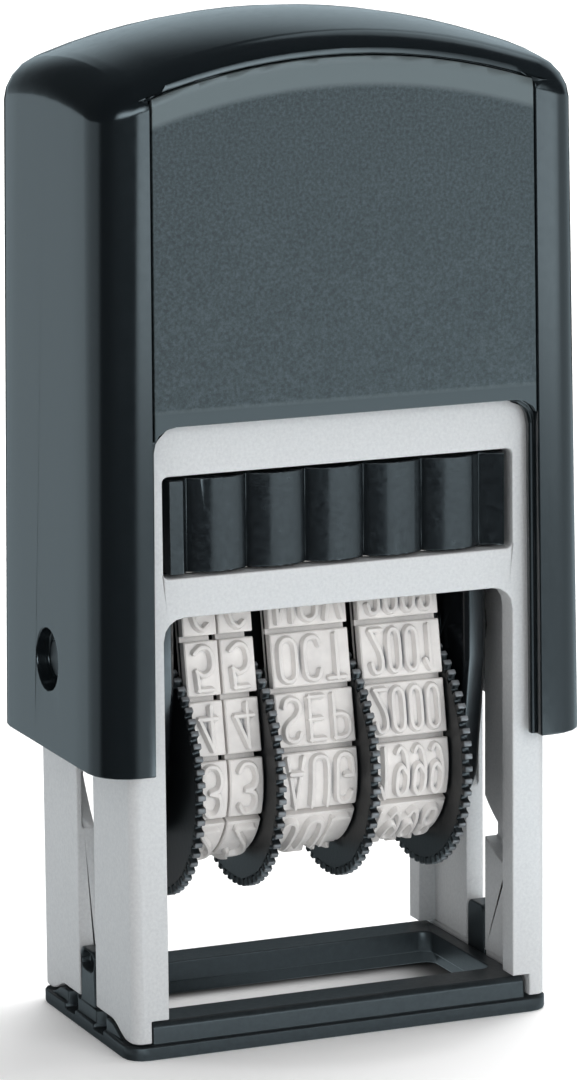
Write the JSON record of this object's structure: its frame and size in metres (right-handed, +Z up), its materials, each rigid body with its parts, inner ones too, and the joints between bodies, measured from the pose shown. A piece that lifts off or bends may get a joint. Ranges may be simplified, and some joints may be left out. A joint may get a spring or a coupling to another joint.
{
  "type": "date stamp",
  "caption": "Self-inking date stamp: a sprung arched cap slides down a silver frame and flips a carriage of date bands with toothed thumb wheels from ink pad to paper.",
  "frame": {"origin": "centre of the foot's underside, on the desk", "axes": "+X to the right of the date line as seen from the front, -Y to the front, +Z up against the press"},
  "size_m": [0.0412, 0.024, 0.0799],
  "materials": {
    "foot_plastic": "semi-gloss black moulding",
    "silver_plastic": "satin silver-grey moulding",
    "cartridge_plastic": "semi-gloss black moulding",
    "ink_felt": "felt soaked with black ink",
    "spring_steel": "drawn spring wire",
    "cap_plastic": "polished black moulding",
    "panel_plastic": "finely grained dark blue-grey",
    "carriage_plastic": "polished black moulding",
    "cushion_rubber": "soft dark rubber",
    "pin_steel": "ground pin",
    "pivot_plastic": "satin black pin",
    "band_rubber": "warm off-white moulded rubber",
    "wheel_plastic": "satin black moulding"
  },
  "bodies": {
    "frame": {"lower_frame": "silver_plastic", "base_frame": "foot_plastic", "ink_cartridge": "cartridge_plastic", "ink_pad": "ink_felt", "return_spring": "spring_steel"},
    "cap": {"cap_shell": "cap_plastic", "front_panel": "panel_plastic", "rear_panel": "panel_plastic"},
    "carriage": {"carriage_bridge": "carriage_plastic", "platen_cushion": "cushion_rubber", "left_cheek": "carriage_plastic", "right_cheek": "carriage_plastic", "wheel_axle": "pin_steel", "left_pivot_pin": "pivot_plastic", "right_pivot_pin": "pivot_plastic", "left_guide_pin": "pivot_plastic", "right_guide_pin": "pivot_plastic", "day_tens_band": "band_rubber", "day_units_band": "band_rubber", "month_band": "band_rubber", "year_band": "band_rubber"},
    "day_tens_wheel": {"day_tens_wheel": "wheel_plastic"},
    "day_units_wheel": {"day_units_wheel": "wheel_plastic"},
    "month_wheel": {"month_wheel": "wheel_plastic"},
    "year_wheel": {"year_wheel": "wheel_plastic"}
  },
  "joints": [
    {"name": "cap_press", "type": "slide", "parent": "frame", "child": "cap", "axis": [0, 0, -1], "range_m": [0, 0.0179], "stiffness_N_per_m": 400, "springref_m": -0.008, "deforming": ["return_spring"]},
    {"name": "carriage_flip", "type": "hinge", "parent": "cap", "child": "carriage", "pos_m": [0, 0, 0.0302], "axis": [-1, 0, 0], "range_deg": [0, 180]},
    {"name": "day_tens_turn", "type": "hinge", "parent": "carriage", "child": "day_tens_wheel", "pos_m": [0, 0, 0.0203], "axis": [1, 0, 0], "continuous": true},
    {"name": "day_units_turn", "type": "hinge", "parent": "carriage", "child": "day_units_wheel", "pos_m": [0, 0, 0.0203], "axis": [1, 0, 0], "continuous": true},
    {"name": "month_turn", "type": "hinge", "parent": "carriage", "child": "month_wheel", "pos_m": [0, 0, 0.0203], "axis": [1, 0, 0], "continuous": true},
    {"name": "year_turn", "type": "hinge", "parent": "carriage", "child": "year_wheel", "pos_m": [0, 0, 0.0203], "axis": [1, 0, 0], "continuous": true}
  ],
  "couplings": [
    {"joint": "carriage_flip", "follows": "cap_press", "rad_per_m": 175.5}
  ]
}
